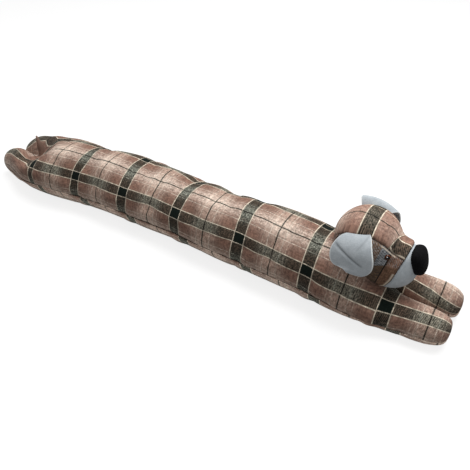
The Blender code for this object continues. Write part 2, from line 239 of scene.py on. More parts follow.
def checkedCloth(name, tone=1.0, setts=(crossSett, girthSett), tint=twill["bandTint"], sewn=False):
    material, tree, shader = newMaterial(name, twill["shader"])
    uv = addNode(tree, "ShaderNodeUVMap", {"uv_map": "check"}).outputs["UV"]
    parts = addNode(tree, "ShaderNodeSeparateXYZ", None, {0: uv}).outputs
    size = (twill["crossRepeat"], twill["girthRepeat"], 1.0)
    inMm = addNode(tree, "ShaderNodeVectorMath", {"operation": "MULTIPLY"}, {0: uv, 1: size}).outputs[0]

    yarns = []
    streakFrom, streakTo = twill["streakSpread"]
    darkest, palest = twill["streakShade"]
    drawn = twill["streakLength"]
    for axis, sett in enumerate(setts):
        along = (drawn, 1.0, 1.0) if axis else (1.0, drawn, 1.0)
        fold = addNode(tree, "ShaderNodeMath", {"operation": "PINGPONG"}, {0: parts[axis], 1: 0.5})
        half = addNode(tree, "ShaderNodeMath", {"operation": "MULTIPLY"}, {0: fold.outputs[0], 1: 2.0})
        ramp = addNode(tree, "ShaderNodeValToRGB", None, {0: half.outputs[0]}, settStops(sett, tone))
        stretched = addNode(tree, "ShaderNodeVectorMath", {"operation": "MULTIPLY"}, {0: inMm, 1: along})
        streaks = addNode(tree, "ShaderNodeTexNoise", {"noise_dimensions": "2D"},
                          {"Vector": stretched.outputs[0], "Scale": 1 / twill["streak"], "Detail": 3.0})
        shade = addNode(tree, "ShaderNodeMapRange", None,
                        {0: streaks.outputs[0], 1: streakFrom, 2: streakTo, 3: darkest, 4: palest})
        tinted = addNode(tree, "ShaderNodeVectorMath", {"operation": "SCALE"},
                         {0: ramp.outputs[0], "Scale": shade.outputs[0]})
        yarns.append((tinted.outputs[0], ramp.outputs[1], streaks.outputs[0]))

    # The diagonal of the twill says which set of yarn lies on top
    diagonal = addNode(tree, "ShaderNodeVectorMath", {"operation": "DOT_PRODUCT"},
                       {0: inMm, 1: (2 * math.pi / twill["twillPitch"],) * 2 + (0.0,)})
    wave = addNode(tree, "ShaderNodeMath", {"operation": "SINE"}, {0: diagonal.outputs["Value"]})
    fuzz = addNode(tree, "ShaderNodeTexNoise", {"noise_dimensions": "2D"},
                   {"Vector": inMm, "Scale": twill["fuzzScale"], "Detail": 4.0})
    fuzzFrom, fuzzTo = twill["fuzzSpread"]
    fuzzy = addNode(tree, "ShaderNodeMapRange", None,
                    {0: fuzz.outputs[0], 1: fuzzFrom, 2: fuzzTo, 3: -twill["fuzz"], 4: twill["fuzz"]})
    lift = addNode(tree, "ShaderNodeMath", {"operation": "MULTIPLY_ADD"},
                   {0: wave.outputs[0], 1: twill["twillWave"], 2: 0.5})
    lift = addNode(tree, "ShaderNodeMath", {"operation": "ADD"}, {0: lift.outputs[0], 1: fuzzy.outputs[0]})
    floats = addNode(tree, "ShaderNodeMath", {"operation": "SUBTRACT"}, {0: yarns[1][1], 1: yarns[0][1]})
    onTop = addNode(tree, "ShaderNodeMath", {"operation": "ADD", "use_clamp": True},
                    {0: lift.outputs[0], 1: floats.outputs[0]})
    colour = addNode(tree, "ShaderNodeMix", {"data_type": "RGBA", "clamp_factor": True},
                     {0: onTop.outputs[0], 6: yarns[0][0], 7: yarns[1][0]})
    # Where a dark band lies in one set, the brown yarn of the other looks greyer
    inBand = addNode(tree, "ShaderNodeMath", {"operation": "MAXIMUM"}, {0: yarns[0][1], 1: yarns[1][1]})
    full, until, gone = twill["tintShares"]
    black, white = (0, 0, 0, 1), (1, 1, 1, 1)
    share = addNode(tree, "ShaderNodeValToRGB", None, {0: inBand.outputs[0]},
                    [(0.0, black), (full, white), (until, white), (gone, black)])
    colour = addNode(tree, "ShaderNodeMix", {"data_type": "RGBA", "blend_type": "MULTIPLY"},
                     {0: share.outputs[0], 6: colour.outputs[2], 7: tint})
    # On the head each seam has painted shade, and pale threads run beside parts of them
    if sewn:
        for label, key in (("seam", "fine"), ("thread", "pale")):
            part = addNode(tree, "ShaderNodeAttribute", {"attribute_name": label}).outputs["Fac"]
            colour = addNode(tree, "ShaderNodeMix", {"data_type": "RGBA"},
                             {0: part, 6: colour.outputs[2], 7: toLinear(twill[key])})
    tree.links.new(colour.outputs[2], shader.inputs["Base Color"])

    height = addNode(tree, "ShaderNodeMath", {"operation": "ADD"}, {0: onTop.outputs[0], 1: yarns[0][2]})
    bump = addNode(tree, "ShaderNodeBump", None, {"Height": height.outputs[0], "Strength": twill["bump"],
                                                  "Distance": twill["bumpDepth"]})
    tree.links.new(bump.outputs[0], shader.inputs["Normal"])
    return material


# Felted wool-look flannel: soft, matt and slightly mottled. On the ears its turned edge is painted paler as a
# painted highlight, and its creases take painted shade
flannel = {
    "base": "#a0a7ac",
    "light": "#b6bcc0",
    # painted highlight along the ears' turned edge, and painted shade in their creases
    "edge": "#dde1e1",
    "fold": "#565c60",
    "paintedLightTones": {"muzzle": 1.22, "farEar": 1.12},      # painted light: the muzzle and the farther ear are painted lighter than the near ear, where light falls on them
    "mottle": 9.0,              # mm
    "fibre": 1.6,               # mm, drawn coarser than real 0.3 mm hairs
    "spread": (0.7, 1.3),       # sums of both noises that become the base and the light grey
    "paintedCreaseShade": 0.7,           # how much of the painted crease shade a crease takes
    "shader": {"Roughness": 0.95, "Sheen Weight": 0.12, "Specular IOR Level": 0.1},
    "bump": 0.3,
    "bumpDepth": 0.0008,        # m
}


def greyFlannel(name, withRimHighlightAndCreaseShade=False, tone=1.0):
    material, tree, shader = newMaterial(name, flannel["shader"])
    base, pale = [(*[c * tone for c in toLinear(flannel[key])[:3]], 1.0) for key in ("base", "light")]
    place = addNode(tree, "ShaderNodeTexCoord").outputs["Object"]
    mottle = addNode(tree, "ShaderNodeTexNoise", None,
                     {"Vector": place, "Scale": 1 / (flannel["mottle"] * mm), "Detail": 3.0})
    fibre = addNode(tree, "ShaderNodeTexNoise", None,
                    {"Vector": place, "Scale": 1 / (flannel["fibre"] * mm), "Detail": 4.0})
    mixed = addNode(tree, "ShaderNodeMath", {"operation": "ADD"}, {0: mottle.outputs[0], 1: fibre.outputs[0]})
    lowest, highest = flannel["spread"]
    factor = addNode(tree, "ShaderNodeMapRange", None, {0: mixed.outputs[0], 1: lowest, 2: highest})
    colour = addNode(tree, "ShaderNodeMix", {"data_type": "RGBA"},
                     {0: factor.outputs[0], 6: base, 7: pale})
    result = colour.outputs[2]
    # Painted highlight along the turned edge of each ear, and painted shade in its creases
    if withRimHighlightAndCreaseShade:
        edge = addNode(tree, "ShaderNodeAttribute", {"attribute_name": "edge"})
        result = addNode(tree, "ShaderNodeMix", {"data_type": "RGBA"},
                         {0: edge.outputs["Fac"], 6: result, 7: toLinear(flannel["edge"])}).outputs[2]
        fold = addNode(tree, "ShaderNodeAttribute", {"attribute_name": "fold"})
        deep = addNode(tree, "ShaderNodeMath", {"operation": "MULTIPLY"},
                       {0: fold.outputs["Fac"], 1: flannel["paintedCreaseShade"]})
        result = addNode(tree, "ShaderNodeMix", {"data_type": "RGBA"},
                         {0: deep.outputs[0], 6: result, 7: toLinear(flannel["fold"])}).outputs[2]
    tree.links.new(result, shader.inputs["Base Color"])
    bump = addNode(tree, "ShaderNodeBump", None, {"Height": fibre.outputs[0], "Strength": flannel["bump"],
                                                  "Distance": flannel["bumpDepth"]})
    tree.links.new(bump.outputs[0], shader.inputs["Normal"])
    return material


# Black brushed cloth: nearly no light comes back but for a faint fuzz
noseCloth = {
    "deep": "#0c0c0d",
    "fuzz": "#1a1a1c",
    "fibreScale": 600.0,        # in each metre
    "spread": (0.35, 0.75),
    "shader": {"Roughness": 0.9, "Specular IOR Level": 0.1},
    "bump": 0.4,
    "bumpDepth": 0.0008,        # m
}


def blackCloth(name):
    material, tree, shader = newMaterial(name, noseCloth["shader"])
    place = addNode(tree, "ShaderNodeTexCoord").outputs["Object"]
    fibre = addNode(tree, "ShaderNodeTexNoise", None,
                    {"Vector": place, "Scale": noseCloth["fibreScale"], "Detail": 4.0})
    lowest, highest = noseCloth["spread"]
    factor = addNode(tree, "ShaderNodeMapRange", None, {0: fibre.outputs[0], 1: lowest, 2: highest})
    colour = addNode(tree, "ShaderNodeMix", {"data_type": "RGBA"},
                     {0: factor.outputs[0], 6: toLinear(noseCloth["deep"]), 7: toLinear(noseCloth["fuzz"])})
    tree.links.new(colour.outputs[2], shader.inputs["Base Color"])
    bump = addNode(tree, "ShaderNodeBump", None, {"Height": fibre.outputs[0], "Strength": noseCloth["bump"],
                                                  "Distance": noseCloth["bumpDepth"]})
    tree.links.new(bump.outputs[0], shader.inputs["Normal"])
    return material


# Polished plastic toy eye: dark pupil in an amber ring, under a clear gloss, with a painted white highlight
# for its catch light
eyeGloss = {
    # Colours from the middle of the pupil (0) to the rim of the face (1)
    "rings": [(0.0, "#050303"), (0.60, "#0a0504"), (0.70, "#6a3410"), (0.82, "#451c0a"), (0.92, "#0c0605")],
    "paintedGlintPlace": (-0.22, 0.28, 0.0),
    "paintedGlintSize": (0.19, 0.11),      # outer and inner radius of the painted highlight
    "paintedGlintColour": (1.0, 1.0, 1.0, 1.0),
    "shader": {"Roughness": 0.12, "Specular IOR Level": 0.35},
}


def toyEye(name):
    material, tree, shader = newMaterial(name, eyeGloss["shader"])
    place = addNode(tree, "ShaderNodeUVMap", {"uv_map": "face"}).outputs["UV"]
    away = addNode(tree, "ShaderNodeVectorMath", {"operation": "LENGTH"}, {0: place})
    ring = addNode(tree, "ShaderNodeValToRGB", None, {0: away.outputs["Value"]},
                   [(reach, toLinear(colour)) for reach, colour in eyeGloss["rings"]])
    # A painted highlight: a white spot near the pupil stands in for the catch light
    paintedGlintDistance = addNode(tree, "ShaderNodeVectorMath", {"operation": "DISTANCE"},
                    {0: place, 1: eyeGloss["paintedGlintPlace"]})
    outer, inner = eyeGloss["paintedGlintSize"]
    paintedGlintMask = addNode(tree, "ShaderNodeMapRange", None, {0: paintedGlintDistance.outputs["Value"], 1: outer, 2: inner})
    colour = addNode(tree, "ShaderNodeMix", {"data_type": "RGBA"},
                     {0: paintedGlintMask.outputs[0], 6: ring.outputs[0], 7: eyeGloss["paintedGlintColour"]})
    tree.links.new(colour.outputs[2], shader.inputs["Base Color"])
    return material


# Studio floor: matt paint that looks white to the camera, but sends little light up under the toy
def floorPaint(name):
    material, tree, shader = newMaterial(name, light["floorShader"])
    shader.inputs["Base Color"].default_value = toLinear(light["floorColour"])
    seen = addNode(tree, "ShaderNodeLightPath").outputs["Is Camera Ray"]
    glow = addNode(tree, "ShaderNodeMath", {"operation": "MULTIPLY"}, {0: seen, 1: light["floorGlow"]})
    tree.links.new(glow.outputs[0], shader.inputs["Emission Strength"])
    return material


# Small helpers for objects. This one leaves a single object selected.
def pick(thing):
    if bpy.context.object and bpy.context.object.mode != "OBJECT":
        bpy.ops.object.mode_set(mode="OBJECT")
    bpy.ops.object.select_all(action="DESELECT")
    thing.select_set(True)
    bpy.context.view_layer.objects.active = thing


def newObject(name, mesh):
    thing = bpy.data.objects.new(name, mesh)
    bpy.context.scene.collection.objects.link(thing)
    return thing


# A primitive, added with nothing else selected
def newPrimitive(name, add, **settings):
    bpy.ops.object.select_all(action="DESELECT")
    add(**settings)
    thing = bpy.context.object
    thing.name = name
    return thing


def applyModifier(thing, kind, **settings):
    modifier = thing.modifiers.new("step", kind)
    for name, value in settings.items():
        setattr(modifier, name, value)
    pick(thing)
    bpy.ops.object.modifier_apply(modifier=modifier.name)


mergeGap = 0.00001              # m, between corners of a CAD mesh that are one
quadTurn = math.radians(50)     # the most that the two triangles of a quad may turn


# A copy of a CAD node with its triangles merged to quads, for an even subdivision
def copyOfNode(nodeName, name):
    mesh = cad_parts[nodeName].data.copy()
    mesh.name = name
    mesh.materials.clear()
    thing = newObject(name, mesh)
    pick(thing)
    bpy.ops.object.mode_set(mode="EDIT")
    bpy.ops.mesh.select_all(action="SELECT")
    bpy.ops.mesh.remove_doubles(threshold=mergeGap)
    bpy.ops.mesh.tris_convert_to_quads(face_threshold=quadTurn, shape_threshold=quadTurn)
    bpy.ops.object.mode_set(mode="OBJECT")
    return thing


def smoothAll(thing):
    thing.data.polygons.foreach_set("use_smooth", np.ones(len(thing.data.polygons), bool))
    thing.data.update()


def points(thing):
    values = np.empty(len(thing.data.vertices) * 3)
    thing.data.vertices.foreach_get("co", values)
    return values.reshape(-1, 3)


def normals(thing):
    values = np.empty(len(thing.data.vertices) * 3)
    thing.data.vertices.foreach_get("normal", values)
    return values.reshape(-1, 3)


def setPoints(thing, values):
    thing.data.vertices.foreach_set("co", np.asarray(values, float).ravel())
    thing.data.update()


# Every further column of a table, interpolated at x along its first one
def bySpan(table, x):
    rows = np.array(table, float)
    return np.stack([np.interp(x, rows[:, 0], rows[:, k]) for k in range(1, rows.shape[1])])


# How the check lies on the body
checkGuide = {
    # Table x of each dark cross band and each thin line half way between, on the near side
    # under the back, and along the top of the back
    "nearBands": [92, 142, 193, 252, 308, 364.5, 423.5, 485.8, 542.7, 600, 652.6, 711.2, 767.6],
    "backBands": [96, 149, 197.5, 247, 307.7, 366, 423.8, 481, 541.7, 598, 652.6, 711.2, 767.6],
    "hindBands": [(-100, -0.45), (37, -0.09), (44, 0.0), (51, 0.09)],
    "foreEnd": 900.0,               # the check runs on evenly to here
    "nearAngle": 152.0,             # degrees round the section, from the far side over the back
    "backAngle": 100.0,
    # Sections: x, axis y, axis z, radius, angle of a dark long band, its number
    "trunk": [
        (-12, -12.5, 42, 53, 143, 0), (28.8, -17, 48.5, 60, 151.5, 0),
        (42, -17, 50, 60, 153, 0), (92, -13.3, 51.2, 60, 152.5, 0),
        (142, -6.3, 49, 58.5, 151.5, 0), (193, -0.5, 49.2, 59, 151.8, 0),
        (252, 1.4, 49.4, 60, 152, 0), (308, 1, 48.2, 58, 148.7, 0),
        (364.5, 3.4, 48.5, 58, 152.2, 0), (423.5, 0.8, 48.7, 59, 151.8, 0),
        (485.8, 1.4, 49, 59, 150.8, 0), (542.7, 0.4, 49.3, 60, 154.6, 0),
        (600, 0, 49.5, 60, 157.5, 0), (652.6, 1, 39, 54, 155.8, 0), (703, 10, 27, 46, 154, 0),
    ],
    "foreNear": [
        (703, -16, 25, 27.5, 129, 0), (711, -16, 25, 27.5, 128, 0),
        (768, -12, 23.3, 26, 117.8, 0), (800, -8, 22, 22, 117, 0),
    ],
    "foreFar": [
        (703, 38, 26, 27, 112, 1), (725, 41, 25, 27, 120, 1), (754, 48.7, 23.5, 26, 141, 1),
        (775, 49, 22.8, 24, 156, 1), (800, 49, 22, 22, 170, 1),
    ],
    "hindNear": [
        (-100, -32, 26, 30, 100, 0), (-60, -33.3, 30, 38, 102, 0), (-35, -40.5, 33.2, 41, 103, 0),
        (-12, -44, 36, 42, 107, 0), (30, -44, 38, 46, 123.3, 0),
    ],
    "hindFar": [
        (-92, 17, 25, 22, 125, 1), (-72, 20, 28, 28, 122, 1), (-57, 21, 31, 30, 111, 1),
        (-46, 19, 33, 31, 98, 1), (-34, 18, 35, 32, 92, 1), (-12, 16, 38, 34, 85, 1),
    ],
    "hindSplit": -12.0,             # table x where the hind legs part, and then the fore legs
    "foreSplit": 703.0,
    "hindBlend": 42.0,              # mm over which the near leg's check runs into the trunk's
    "blendInner": 0.5,              # share of the leg's radius, inwards from its axis, where it ends
    "blendWidth": 15.0,
    # Table x and y of the line between the near and the far legs
    "crotch": [(-100, -8.5), (-57, -7.5), (-12, -12.5), (703, 10), (722, 13), (747, 18), (800, 19)],
    # Over the hind legs the cross lines bend back along a valley, and forward on its far side
    "valley": {
        "y": -18.0, "width": 14.0, "pull": 34.0, "farPush": -13.0, "farWidth": 25.0,
        "from": 90.0, "to": 55.0, "legEnd": -60.0,
    },
    "trunkSeam": 191.0,             # degrees round the section where the base panel is sewn on
    "legSeam": 195.0,
    "baseShift": 18.0,              # mm that the base panel's own check lies further forward
    "baseNumber": 0.30,
}
# The dark cross bands behind the head, where the filled cloth draws in a little
waistBands = checkGuide["nearBands"][1:10:2]
limbNames = ("trunk", "foreNear", "foreFar", "hindNear", "hindFar")


# Which limb each place belongs to
def limbOf(x, y):
    crotchY = bySpan(checkGuide["crotch"], x)[0]
    limb = np.full(len(x), "trunk", dtype="U8")
    limb[x > checkGuide["foreSplit"]] = "foreNear"
    limb[(x > checkGuide["foreSplit"]) & (y > crotchY)] = "foreFar"
    limb[x < checkGuide["hindSplit"]] = "hindNear"
    limb[(x < checkGuide["hindSplit"]) & (y > crotchY)] = "hindFar"
    return limb


# The number of repeats along the body: share 0 reads the bands of the near side, 1 of the back
def crossNumber(x, share):
    guide = checkGuide
    hindPlaces, hindNumbers = zip(*guide["hindBands"])
    numbers = np.arange(1, len(guide["nearBands"]) + 1) / 2
    result = np.zeros(len(x))
    for bands, weight in ((guide["nearBands"], 1 - share), (guide["backBands"], share)):
        last = numbers[-1] + (guide["foreEnd"] - bands[-1]) / twill["crossRepeat"]
        places = np.array([*hindPlaces, *bands, guide["foreEnd"]], float)
        result += np.interp(x, places, np.array([*hindNumbers, *numbers, last])) * weight
    return result


def wrapped(angle):
    return (angle + 90) % 360 - 90      # from under the far side, over the back, to the near side


# The check's repeats along (u) and round (v) the body, counted from the sections of checkGuide
def bodyCheck(places, limb, base=False):
    guide = checkGuide
    valley = guide["valley"]
    x, y, z = places.T
    u, v = np.zeros(len(x)), np.zeros(len(x))
    for name in limbNames:
        here = limb == name
        if not here.any():
            continue
        axisY, axisZ, radius, bandAngle, bandNumber = bySpan(guide[name], x[here])
        angle = wrapped(np.degrees(np.arctan2(z[here] - axisZ, y[here] - axisY)))
        share = np.clip((guide["nearAngle"] - angle) / (guide["nearAngle"] - guide["backAngle"]), 0, 1)
        fade = np.clip((valley["from"] - x[here]) / (valley["from"] - valley["to"]), 0, 1)
        dent = np.exp(-((y[here] - valley["y"]) / valley["width"]) ** 2) * valley["pull"]
        farSide = np.clip((y[here] - valley["y"]) / valley["farWidth"], 0, 1) ** 2 * valley["farPush"]
        legFade = np.clip((x[here] - valley["legEnd"]) / (guide["hindSplit"] - valley["legEnd"]), 0, 1)
        shift = (dent + farSide) * fade * legFade
        if base:
            seam = guide["trunkSeam"] if name == "trunk" else guide["legSeam"]
            u[here] = crossNumber(x[here] - guide["baseShift"], share * 0)
            v[here] = guide["baseNumber"] + np.radians(angle - seam) * radius / twill["girthRepeat"]
        else:
            u[here] = crossNumber(x[here] + shift, share)
            v[here] = bandNumber + np.radians(bandAngle - angle) * radius / twill["girthRepeat"]
            if name == "trunk":
                legY, legZ, legRadius, legBand, _ = bySpan(guide["hindNear"], x[here])
                legAngle = np.degrees(np.arctan2(z[here] - legZ, y[here] - legY))
                legNumber = np.radians(legBand - wrapped(legAngle)) * legRadius / twill["girthRepeat"]
                blendEnd = guide["hindSplit"] + guide["hindBlend"]
                legShare = np.clip((blendEnd - x[here]) / guide["hindBlend"], 0, 1)
                legInner = legY + legRadius * guide["blendInner"]
                legShare *= np.clip((legInner - y[here]) / guide["blendWidth"], 0, 1)
                v[here] = v[here] * (1 - legShare) + legNumber * legShare
    return u, v


# The vertex of each face corner, the middle of each face and its number of corners
def cornerData(thing):
    mesh = thing.data
    loopVerts = np.empty(len(mesh.loops), int)
    mesh.loops.foreach_get("vertex_index", loopVerts)
    centres = np.empty(len(mesh.polygons) * 3)
    mesh.polygons.foreach_get("center", centres)
    counts = np.empty(len(mesh.polygons), int)
    mesh.polygons.foreach_get("loop_total", counts)
    return loopVerts, centres.reshape(-1, 3), counts


def writeUv(thing, name, u, v):
    layer = thing.data.uv_layers.get(name) or thing.data.uv_layers.new(name=name)
    layer.data.foreach_set("uv", np.stack([u, v], 1).ravel())
    thing.data.update()


# Values at each point, for the materials to read
def writeValues(thing, **layers):
    for name, values in layers.items():
        layer = thing.data.attributes.new(name, "FLOAT", "POINT")
        layer.data.foreach_set("value", values.astype(np.float32))


# A face takes all its corners from one limb, so that the check doesn't smear between two
def layBodyCheck(thing, base=False):
    loopVerts, centres, counts = cornerData(thing)
    middle = toTable(centres)
    limb = np.repeat(limbOf(middle[:, 0], middle[:, 1]), counts)
    u, v = bodyCheck(toTable(points(thing))[loopVerts], limb, base)
    writeUv(thing, "check", u, v)


noiseStep = (13.1, 7.7, 3.3)        # how far each seed moves through the noise


def softNoise(places, size, seed):
    offset = Vector([seed * step for step in noiseStep])
    return np.array([noise.noise(Vector(p) / size + offset) for p in places])


# Body: the filled upper panel, puckered along the base seam
bodyLook = {
    "levels": 2,
    "lumps": 1.6,               # mm
    "lumpSize": 0.050,
    "waist": 2.1,               # mm drawn in along each dark cross band
    "waistWidth": 13.0,
    "pucker": 2.0,              # mm at the seam
    "puckerFade": 10.0,
    "puckerLength": 0.012,
    "puckerAcross": 0.35,       # noise scale up the side: under 1 draws the puckers out
    "flatTo": 4.0,              # mm above the floor that stay flat
}
farAway = 99.0                  # mm, where no seam is near


# How far each place lies above the seam of the base panel, in millimetres round the section
def seamDistance(places, limb):
    guide = checkGuide
    x, y, z = places.T
    away = np.full(len(x), farAway)
    for name in limbNames:
        here = limb == name
        if not here.any():
            continue
        axisY, axisZ, radius = bySpan(guide[name], x[here])[:3]
        angle = np.degrees(np.arctan2(z[here] - axisZ, np.abs(y[here] - axisY)))
        seam = 180.0 - (guide["trunkSeam"] if name == "trunk" else guide["legSeam"])
        away[here] = np.radians(angle - seam) * radius
    return away


# Puckers at the seam, soft lumps all over, and a waist at each dark cross band
def puckerSeam(thing, look):
    places = points(thing)
    table = toTable(places)
    away = seamDistance(table, limbOf(table[:, 0], table[:, 1]))
    fade = np.exp(-np.abs(away) / look["puckerFade"])
    stretched = places * np.array((1.0, look["puckerAcross"], look["puckerAcross"]))
    wave = softNoise(stretched, look["puckerLength"], 1.0)
    lumps = softNoise(places, look["lumpSize"], 2.0)
    move = wave * fade * look["pucker"] + lumps * look["lumps"]
    for band in waistBands:
        move -= look["waist"] * np.exp(-((table[:, 0] - band) / look["waistWidth"]) ** 2)
    move *= mm
    move[places[:, 2] < look["flatTo"] * mm] = 0
    setPoints(thing, places + normals(thing) * move[:, None])


# Cloth simulation: a coarse copy is blown up a little against its held seam, and creases as it
# fills out. The fine skin then takes the copy's shape, all but near the seam and on the legs.
settling = {
    "voxel": 0.0055,            # m
    "shrink": 1.2,              # mm smaller at the start
    "slack": -0.028,            # negative: the cloth is cut larger than the form
    "pressure": 4.0,
    "quality": 5,
    "frames": 20,
    "most": 6.0,                # mm that a point may move
    "heldAway": 4.0,            # mm from the seam that is held
    "heldLow": 12.0,            # mm above the floor that is held
    # Where the form of the CAD body stays, and over how many millimetres it fades out
    "calmSeam": (6.0, 22.0),        # mm from the seam
    "calmLow": (14.0, 14.0),        # mm above the floor
    "calmHind": (5.0, 50.0),        # table x, at the hind end
    "calmFore": (690.0, 60.0),      # table x, at the fore end
}


# How freely a place moves: 0 up to the start of a fade, 1 past its end
def freed(distance, start, width):
    return np.clip((distance - start) / width, 0, 1)


def settleCloth(skin):
    pick(skin)
    bpy.ops.object.duplicate()
    soft = bpy.context.object
    soft.name = "settlingCopy"
    soft.data.remesh_voxel_size = settling["voxel"]
    bpy.ops.object.voxel_remesh()
    start = points(soft) - normals(soft) * settling["shrink"] * mm
    setPoints(soft, start)
    table = toTable(start)
    away = np.abs(seamDistance(table, limbOf(table[:, 0], table[:, 1])))
    heldPoints = np.nonzero((away < settling["heldAway"]) | (table[:, 2] < settling["heldLow"]))[0]
    soft.vertex_groups.new(name="held").add([int(i) for i in heldPoints], 1.0, "REPLACE")
    cloth = soft.modifiers.new("cloth", "CLOTH")
    cloth.settings.quality = settling["quality"]
    cloth.settings.vertex_group_mass = "held"
    cloth.settings.use_pressure = True
    cloth.settings.uniform_pressure_force = settling["pressure"]
    cloth.settings.shrink_min = settling["slack"]
    cloth.settings.effector_weights.gravity = 0.0
    cloth.point_cache.frame_end = settling["frames"]
    scene = bpy.context.scene
    for step in range(1, settling["frames"] + 1):
        scene.frame_set(step)
    pick(soft)
    bpy.ops.object.modifier_apply(modifier="cloth")
    scene.frame_set(1)
    moved = points(soft) - start
    length = np.linalg.norm(moved, axis=1, keepdims=True)
    moved *= np.minimum(1.0, settling["most"] * mm / np.maximum(length, 1e-9))
    setPoints(soft, start + moved)
    applyModifier(soft, "SUBSURF", levels=1, render_levels=1)
    print("settled", len(start), "points, mean move", round(float(length.mean() / mm), 2), "mm")
    before = points(skin)
    applyModifier(skin, "SHRINKWRAP", target=soft, wrap_method="NEAREST_SURFACEPOINT")
    bpy.data.objects.remove(soft)
    table = toTable(before)
    away = np.abs(seamDistance(table, limbOf(table[:, 0], table[:, 1])))
    foreStart, foreWidth = settling["calmFore"]
    free = freed(away, *settling["calmSeam"]) * freed(table[:, 2], *settling["calmLow"])
    free *= freed(table[:, 0], *settling["calmHind"])
    free *= freed(-table[:, 0], -foreStart, foreWidth)
    setPoints(skin, before + (points(skin) - before) * free[:, None])


def makeBody(cloth):
    body = copyOfNode("body", "bodySkin")
    applyModifier(body, "SUBSURF", levels=bodyLook["levels"], render_levels=bodyLook["levels"])
    settleCloth(body)
    layBodyCheck(body)
    puckerSeam(body, bodyLook)
    smoothAll(body)
    body.data.materials.append(cloth)
    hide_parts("body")
    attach(body, "root")
    return body


# Base panel: the same cloth, with the body's lumps and puckers and slightly deeper waists
baseLook = {**bodyLook, "waist": 2.4, "flat": (0.92, 0.19), "area": 0.1335}     # m and square m


def makeBase(cloth):
    base = copyOfNode("base_panel", "basePanel")
    applyModifier(base, "SUBSURF", levels=baseLook["levels"], render_levels=baseLook["levels"])
    layBodyCheck(base, base=True)
    puckerSeam(base, baseLook)
    smoothAll(base)
    base.data.materials.append(cloth)
    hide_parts("base_panel")
    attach(base, "root")
    return base


# Head: one blended form of four balls, sewn from a crown gusset, two sides and a muzzle
head = {
    "core": (682, 8, 98),
    # Middle and radius of each ball: skull, jaw, snout and throat
    "balls": [(658, 8, 114.5, 45.5), (699.5, 8, 87.5, 32.5), (702, 8, 107, 24), (679, 8, 88, 33)],
    "blend": 9.0,               # the higher, the tighter the balls join
    "cuts": 71,                 # of the cube that it starts from
    "middleY": 8.0,
    # Crown gusset: table x and its half width at the upper height, closing to a point at the lower
    "gusset": [(590, 62), (637, 59), (672, 51.5), (697, 52.5), (715, 62), (735, 65)],
    "gussetLow": 86.0,
    "gussetHigh": 170.0,
    "gussetSlant": 0.86,        # level distance from its seam to distance across the seam
    # Seam to the muzzle, seen from the side: z, x
    "muzzleSeam": [(50, 606), (53, 674), (56, 686), (62, 695), (70, 701), (85, 707), (104, 711.5),
                   (126, 717), (170, 728)],
    "threadAway": 2.6,          # mm from that seam to the pale thread along the cheek
    "threadWidth": 1.1,
    "threadTop": 96.0,          # height where it ends
    "browThread": (684.0, 703.0),       # table x of the thread beside the seam over the grey block
    "browAway": 2.2,
    "browWidth": 0.7,
    # painted shade along the head's seams: how dark, and how wide in mm
    "paintedSeamShade": 0.8,
    "seamWidth": 1.2,
    "groove": 1.3,              # mm deep
    "grooveWidth": 1.8,
    "lip": 1.2,                 # mm that the checked cloth stands over the muzzle
    "lipAway": 2.5,             # mm from the seam where it is highest
    "lipWidth": 5.0,
    "wall": 1.2,                # mm of cloth
    "restGap": 0.5,             # mm between the head and the back that it rests on
    "restReach": 60.0,          # mm that are searched for the back
}
# Pieces of the head, their nodes and their slots, in the order of their material numbers
headPanels = [
    ("crownGusset", "head_crown", "checked_cloth"),
    ("sideNear", "head_side_near", "checked_cloth"),
    ("sideFar", "head_side_far", "checked_cloth"),
    ("muzzlePad", "muzzle", "grey_flannel"),
]


# How far a ball reaches from the head's core in one direction
def ballReach(direction, ball):
    offset = Vector(ball[:3]) - Vector(head["core"])
    along = offset.dot(direction)
    inside = along * along - offset.length_squared + ball[3] * ball[3]
    return along + math.sqrt(inside) if inside > 0 else 0.0


# A subdivided cube, whose points go out from the core to the blended balls
def headSkin():
    skin = newPrimitive("headSkin", bpy.ops.mesh.primitive_cube_add, size=2.0)
    bpy.ops.object.mode_set(mode="EDIT")
    bpy.ops.mesh.subdivide(number_cuts=head["cuts"])
    bpy.ops.object.mode_set(mode="OBJECT")
    for vert in skin.data.vertices:
        direction = Vector([math.tan(part * math.pi / 4) for part in vert.co]).normalized()
        reach = sum(ballReach(direction, ball) ** head["blend"] for ball in head["balls"])
        vert.co = at(*(Vector(head["core"]) + direction * reach ** (1 / head["blend"])))
    skin.data.update()
    return skin


# Distances to the head's seams: under 0 inside the gusset, and under 0 behind the muzzle's seam
def headSeams(table):
    x, y, z = table.T
    half = bySpan(head["gusset"], x)[0]
    rise = (z - head["gussetLow"]) / (head["gussetHigh"] - head["gussetLow"])
    gusset = np.abs(y - head["middleY"]) - half * rise
    gusset = np.where(rise < 0, farAway, gusset) * head["gussetSlant"]
    muzzle = x - bySpan(head["muzzleSeam"], z)[0]
    muzzle = np.where(z < head["muzzleSeam"][0][0], farAway, muzzle)
    return gusset, muzzle


# Painted shade along each seam of the face, and the pale threads that edge the cheek
def paintSeamShadeAndThreads(skin, table):
    gusset, muzzle = headSeams(table)
    x, z = table[:, 0], table[:, 2]
    slope = (bySpan(head["muzzleSeam"], z + 1)[0] - bySpan(head["muzzleSeam"], z - 1)[0]) / 2
    away = muzzle / np.sqrt(1 + slope ** 2)
    thread = np.exp(-((away + head["threadAway"]) / head["threadWidth"]) ** 2) * (z < head["threadTop"])
    first, last = head["browThread"]
    brow = np.exp(-((gusset - head["browAway"]) / head["browWidth"]) ** 2) * (x > first) * (x < last)
    # Painted shade, darkest on each seam
    dark = np.exp(-(np.minimum(np.abs(gusset), np.abs(away)) / head["seamWidth"]) ** 2)
    writeValues(skin, thread=np.maximum(thread, brow), seam=dark * head["paintedSeamShade"])


